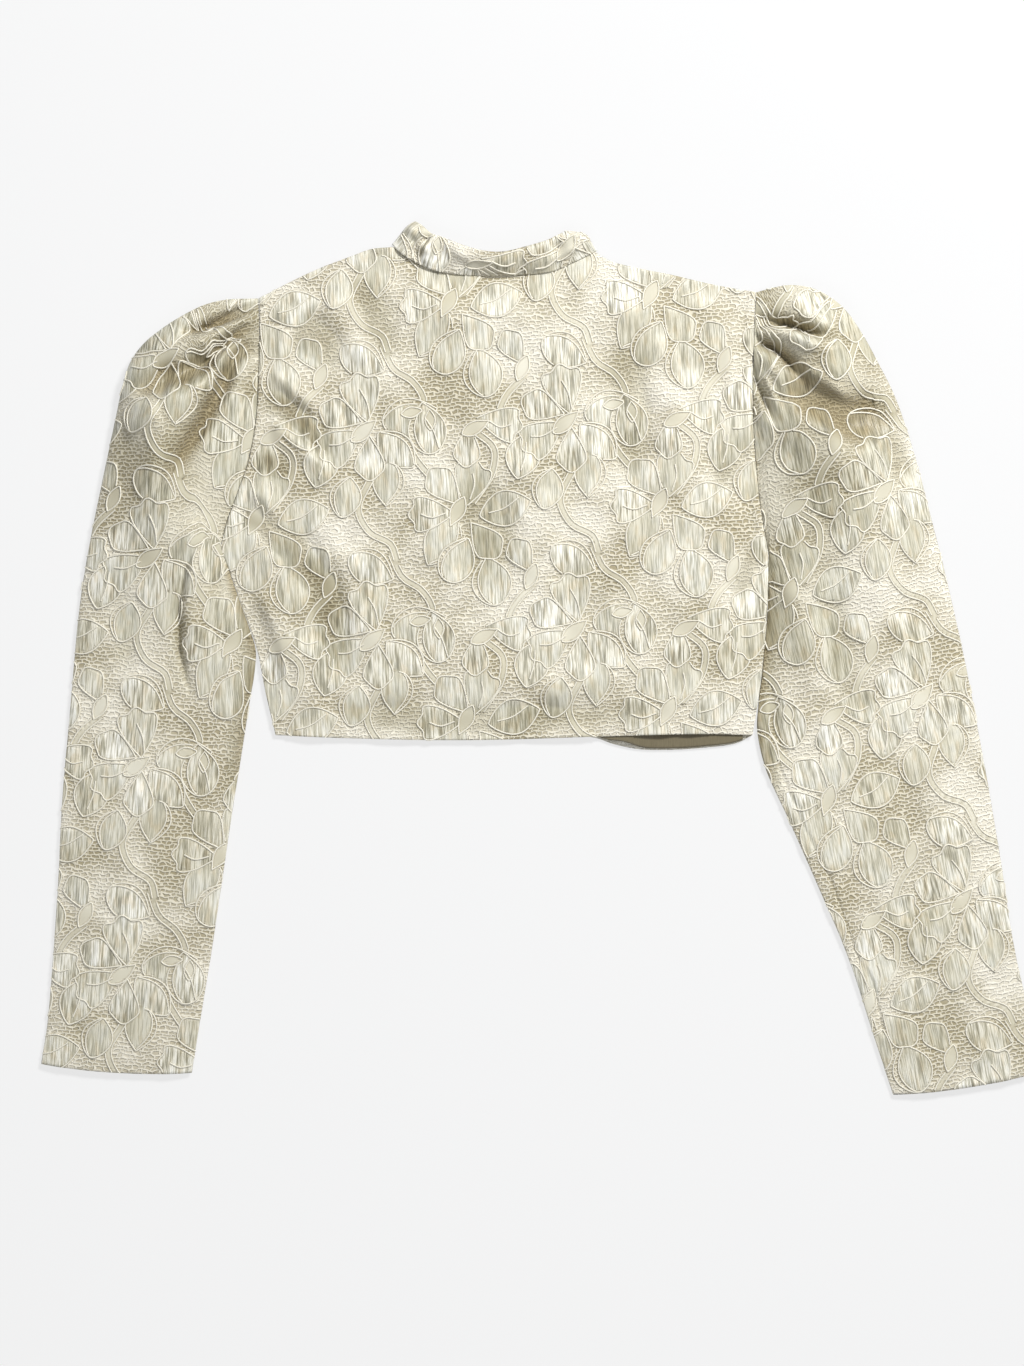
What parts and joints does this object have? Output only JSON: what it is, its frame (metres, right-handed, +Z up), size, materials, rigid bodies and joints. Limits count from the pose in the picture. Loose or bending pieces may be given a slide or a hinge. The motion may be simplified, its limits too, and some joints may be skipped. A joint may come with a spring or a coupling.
{
  "type": "bolero jacket",
  "caption": "Cropped jacket laid flat with its back up: stand collar, long sleeves with gathered, puffed heads set in vertical seams, straight waist hem.",
  "frame": {"origin": "centre of the bounding box's base, on the surface that the garment lies on", "axes": "+X across the garment towards the wearer's right sleeve, +Y from the hem to the collar, +Z up from the surface"},
  "size_m": [0.7716, 0.6719, 0.0352],
  "materials": {
    "lace_brocade": "cream corded floral lace brocade with lustrous satin petals over a fine net ground",
    "satin_lining": "plain satin lining, pale olive cream"
  },
  "bodies": {
    "root": {"front_left": "lace_brocade", "front_right": "lace_brocade", "lining_right": "satin_lining", "back": "lace_brocade", "collar": "lace_brocade", "sleeve_left": "lace_brocade", "sleeve_right": "lace_brocade"}
  },
  "joints": []
}
